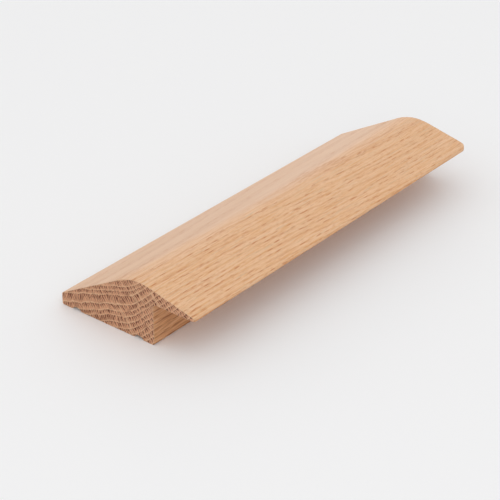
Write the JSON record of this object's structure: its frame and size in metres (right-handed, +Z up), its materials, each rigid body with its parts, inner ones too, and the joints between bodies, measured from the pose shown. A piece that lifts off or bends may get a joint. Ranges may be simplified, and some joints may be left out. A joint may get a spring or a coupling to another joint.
{
  "type": "wood threshold",
  "caption": "Short length of solid oak floor threshold with a thin lip over a rabbet, a rounded crown and a long slope down to a low blunt nose.",
  "frame": {"origin": "middle of the strip in plan, on the plane that the foot rests on", "axes": "+X along the strip, +Y towards the low nose, -Y towards the lip, +Z up"},
  "size_m": [0.1384, 0.0508, 0.0186],
  "materials": {
    "oak": "bare sanded oak, matt, straight grain along the strip"
  },
  "bodies": {
    "root": {"threshold_strip": "oak"}
  },
  "joints": []
}
